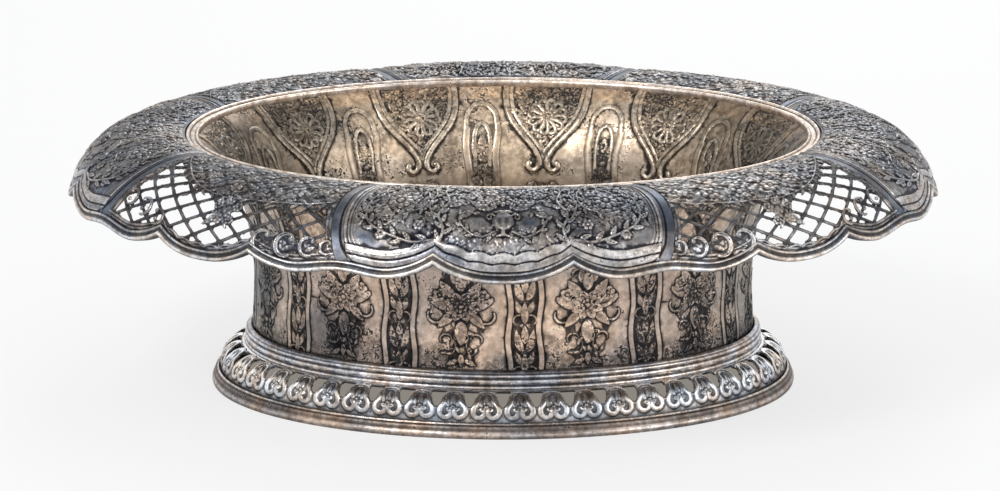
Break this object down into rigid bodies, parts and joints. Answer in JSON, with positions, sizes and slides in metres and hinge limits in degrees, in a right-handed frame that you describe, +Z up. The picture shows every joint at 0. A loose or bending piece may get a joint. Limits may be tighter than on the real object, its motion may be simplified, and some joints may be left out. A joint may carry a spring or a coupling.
{
  "type": "pierced bowl",
  "caption": "Large oval silver centrepiece bowl with a waisted raised body, a pierced lappet foot and a broad rolled rim of solid cartouches and pierced trellis panels.",
  "frame": {"origin": "middle of the foot's flat underside, on the table", "axes": "+X along the bowl's length, -Y towards the front, +Z up"},
  "size_m": [0.4606, 0.3866, 0.142],
  "materials": {
    "foot_silver": "polished silver with a warm toned film",
    "skirt_silver": "chased and pierced silver, dark blue-grey tarnish in the hollows",
    "body_silver": "flat-chased silver, warm grey ground with speckled black tarnish round the relief",
    "moulding_silver": "reeded silver wire, worn bright on its ridges",
    "collar_silver": "satin silver moulding with worn bright beads",
    "cartouche_silver": "embossed silver, blue-grey tarnish",
    "trellis_silver": "pierced and chased silver, grey tarnish",
    "edge_silver": "moulded silver wire, dark groove and worn bright bead"
  },
  "bodies": {
    "root": {"foot_ring": "foot_silver", "foot_skirt": "skirt_silver", "bowl_body": "body_silver", "waist_wire": "moulding_silver", "mouth_collar": "collar_silver", "cartouche_front": "cartouche_silver", "cartouche_right": "cartouche_silver", "cartouche_back": "cartouche_silver", "cartouche_left": "cartouche_silver", "trellis_front_right": "trellis_silver", "trellis_back_right": "trellis_silver", "trellis_back_left": "trellis_silver", "trellis_front_left": "trellis_silver", "edge_wire_front_right": "edge_silver", "edge_wire_right": "edge_silver", "edge_wire_back_right": "edge_silver", "edge_wire_back": "edge_silver", "edge_wire_back_left": "edge_silver", "edge_wire_left": "edge_silver", "edge_wire_front_left": "edge_silver", "edge_wire_front": "edge_silver"}
  },
  "joints": []
}
